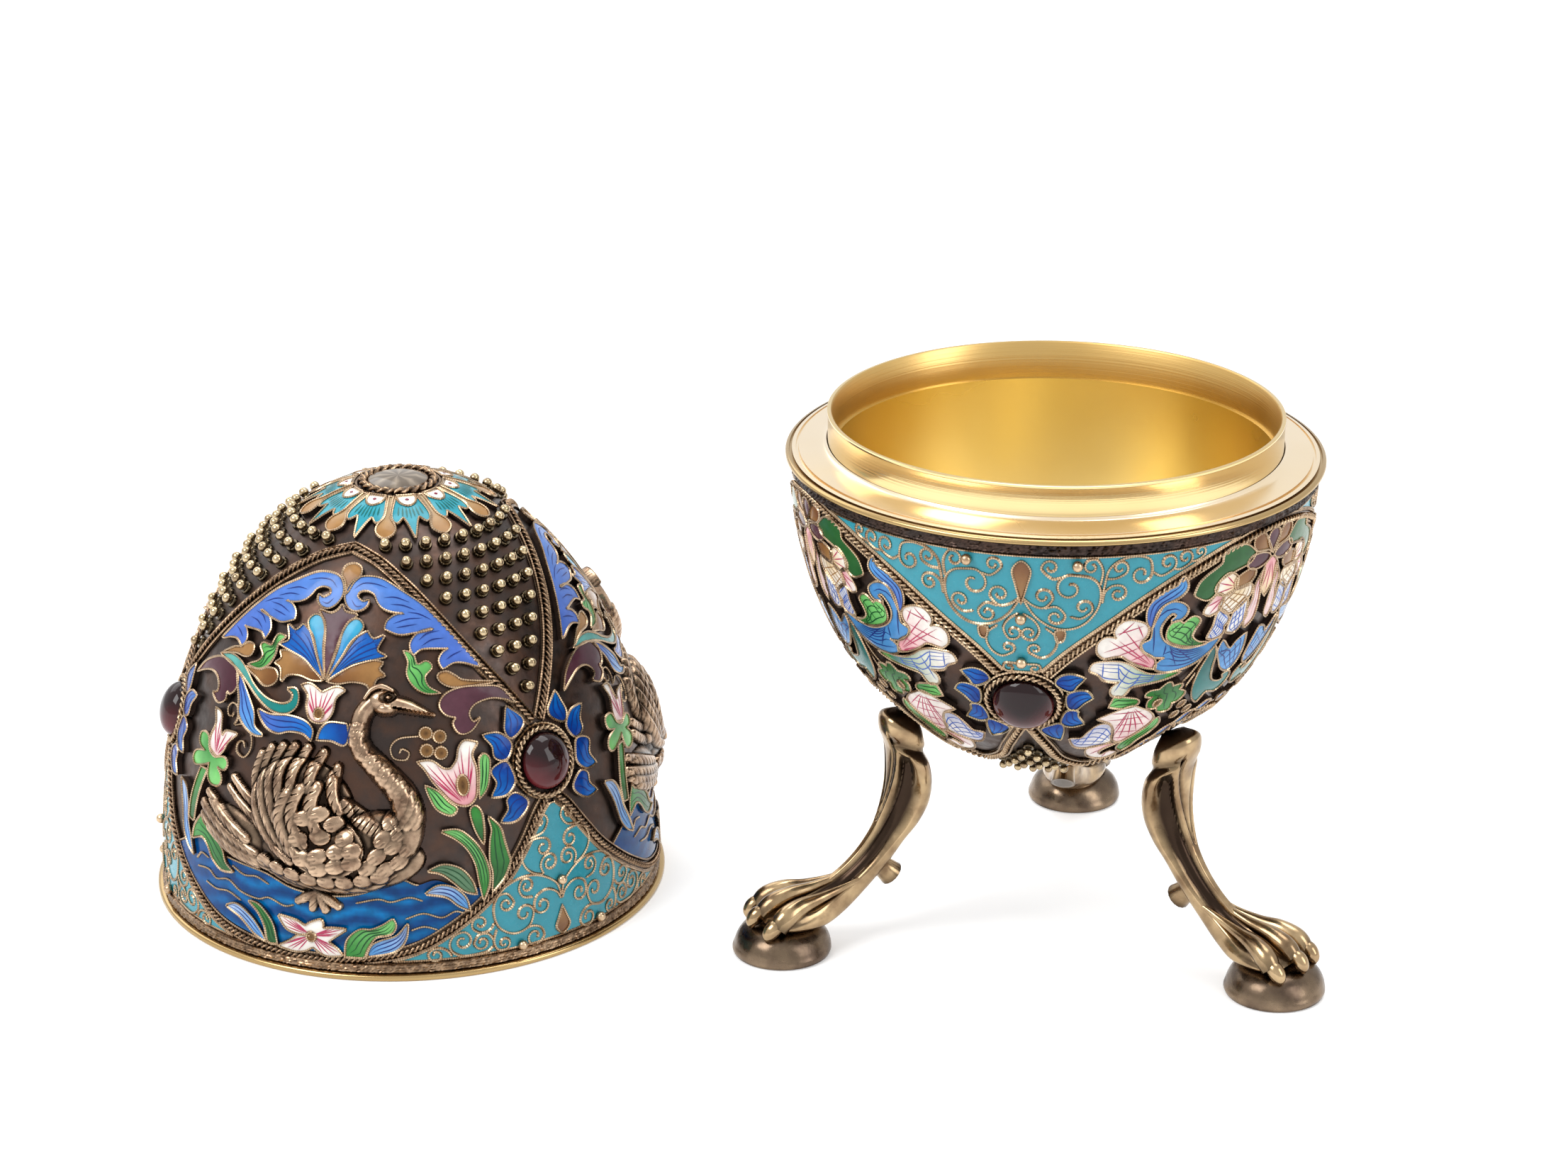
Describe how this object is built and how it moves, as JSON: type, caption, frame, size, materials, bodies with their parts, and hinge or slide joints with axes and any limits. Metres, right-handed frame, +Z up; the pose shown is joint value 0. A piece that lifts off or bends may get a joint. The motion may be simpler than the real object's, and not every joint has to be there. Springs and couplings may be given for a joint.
{
  "type": "cloisonne egg",
  "caption": "Egg-shaped box in cloisonne enamel: a footed bowl with a gilt collar, and its domed lid with swan medallions, stones and granulation, set down beside it.",
  "frame": {"origin": "on the table, under the middle of the box round the bowl and the lid beside it", "axes": "+Z up, +X from the lid towards the bowl, and the picture looks along +Y"},
  "size_m": [0.1704, 0.09, 0.0776],
  "materials": {
    "oxidised_silver": "dark oxidised silver with a mottled patina",
    "gilt": "polished gilding",
    "turquoise_enamel": "opaque gloss enamel",
    "flower_enamel": "opaque and translucent gloss enamels in shaded colours",
    "water_enamel": "translucent gloss enamel",
    "garnet": "polished cabochon",
    "twisted_wire": "gilt twisted wire with dark hollows",
    "swan_gilt": "copper-toned gilding, dark in the hollows",
    "paw_brass": "polished cast brass, dark in the hollows",
    "pad_bronze": "worn dark gilding",
    "crystal": "dull clear stone"
  },
  "bodies": {
    "base": {"bowl_shell": "oxidised_silver", "bowl_liner": "gilt", "collar_ring": "gilt", "flange_ring": "gilt", "bowl_edge_band": "oxidised_silver", "leg_1": "paw_brass", "leg_2": "paw_brass", "leg_3": "paw_brass", "foot_pad_1": "pad_bronze", "foot_pad_2": "pad_bronze", "foot_pad_3": "pad_bronze", "bowl_garnet_1": "garnet", "bowl_garnet_2": "garnet", "bowl_garnet_3": "garnet", "bowl_bezel_1": "twisted_wire", "bowl_bezel_2": "twisted_wire", "bowl_bezel_3": "twisted_wire", "bowl_turquoise_1": "turquoise_enamel", "bowl_turquoise_2": "turquoise_enamel", "bowl_turquoise_3": "turquoise_enamel", "bowl_flower_enamel_1": "flower_enamel", "bowl_flower_enamel_2": "flower_enamel", "bowl_flower_enamel_3": "flower_enamel", "bowl_arch_rope_1": "twisted_wire", "bowl_arch_rope_2": "twisted_wire", "bowl_arch_rope_3": "twisted_wire", "bowl_lower_rope_1": "twisted_wire", "bowl_lower_rope_2": "twisted_wire", "bowl_lower_rope_3": "twisted_wire"},
    "lid": {"lid_shell": "oxidised_silver", "lid_rim_ring": "gilt", "lid_edge_band": "oxidised_silver", "apex_rosette": "turquoise_enamel", "apex_ring": "twisted_wire", "apex_stone": "crystal", "lid_garnet_1": "garnet", "lid_garnet_2": "garnet", "lid_garnet_3": "garnet", "lid_bezel_1": "twisted_wire", "lid_bezel_2": "twisted_wire", "lid_bezel_3": "twisted_wire", "swan_1": "swan_gilt", "swan_2": "swan_gilt", "swan_3": "swan_gilt", "lid_turquoise_1": "turquoise_enamel", "lid_turquoise_2": "turquoise_enamel", "lid_turquoise_3": "turquoise_enamel", "lid_water_enamel_1": "water_enamel", "lid_water_enamel_2": "water_enamel", "lid_water_enamel_3": "water_enamel", "lid_flower_enamel_1": "flower_enamel", "lid_flower_enamel_2": "flower_enamel", "lid_flower_enamel_3": "flower_enamel", "lid_arch_rope_1": "twisted_wire", "lid_arch_rope_2": "twisted_wire", "lid_arch_rope_3": "twisted_wire", "lid_lower_rope_1": "twisted_wire", "lid_lower_rope_2": "twisted_wire", "lid_lower_rope_3": "twisted_wire"}
  },
  "joints": [
    {"name": "lid_lift", "type": "slide", "parent": "base", "child": "lid", "axis": [0, 0, 1], "range_m": [0, 0.1]}
  ]
}
